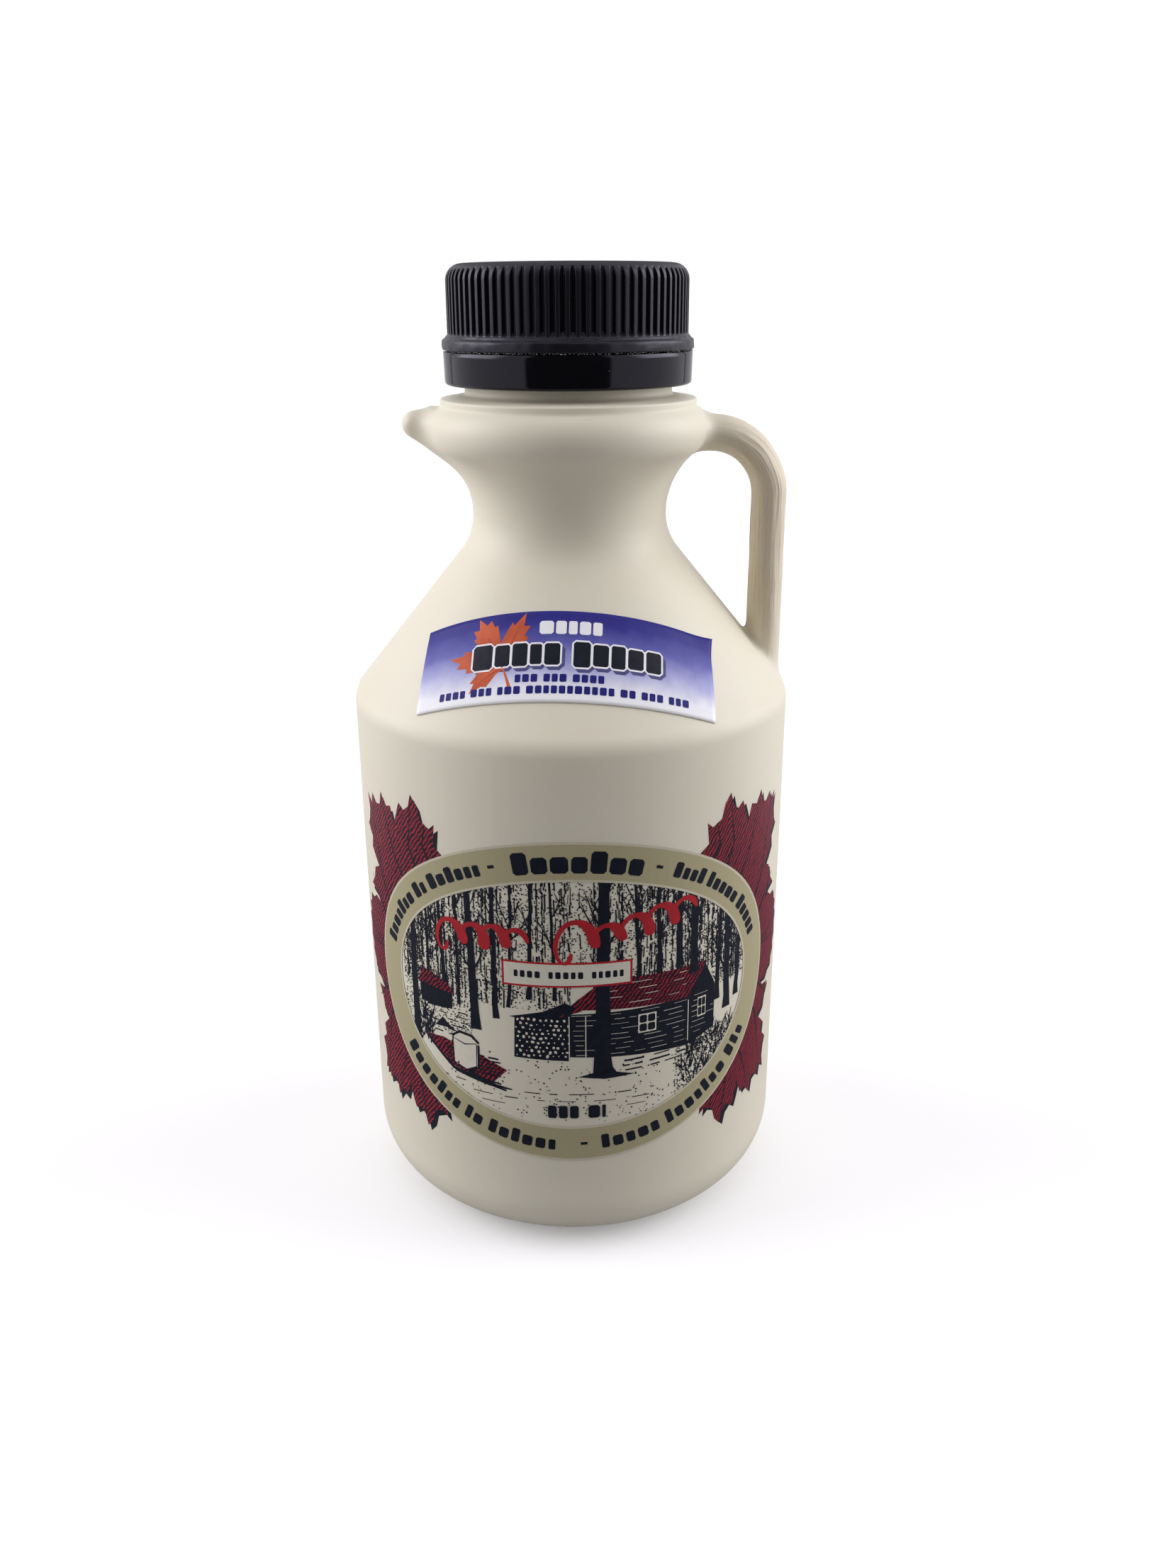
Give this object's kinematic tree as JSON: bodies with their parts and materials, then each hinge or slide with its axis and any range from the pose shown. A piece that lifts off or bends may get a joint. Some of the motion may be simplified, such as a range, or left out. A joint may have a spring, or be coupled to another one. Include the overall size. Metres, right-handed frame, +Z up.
{
  "type": "maple syrup jug",
  "caption": "Round moulded syrup jug with a cone shoulder, narrow neck, finger handle, small pouring beak, ribbed screw cap on a tamper band and a shoulder sticker.",
  "frame": {"origin": "middle of the flat base, on the jug's axis", "axes": "+Z up the jug's axis, +X towards the handle, -Y towards the front with the print and the sticker"},
  "size_m": [0.078, 0.078, 0.167],
  "materials": {
    "jug": "cream satin polyethylene, printed in maroon, navy and khaki",
    "cap": "near-black satin polypropylene, ribbed",
    "tamper_band": "near-black glossy polypropylene",
    "sticker": "coated paper, dark violet blue fading to white"
  },
  "bodies": {
    "root": {"jug": "jug", "cap": "cap", "tamper_band": "tamper_band", "sticker": "sticker"}
  },
  "joints": []
}
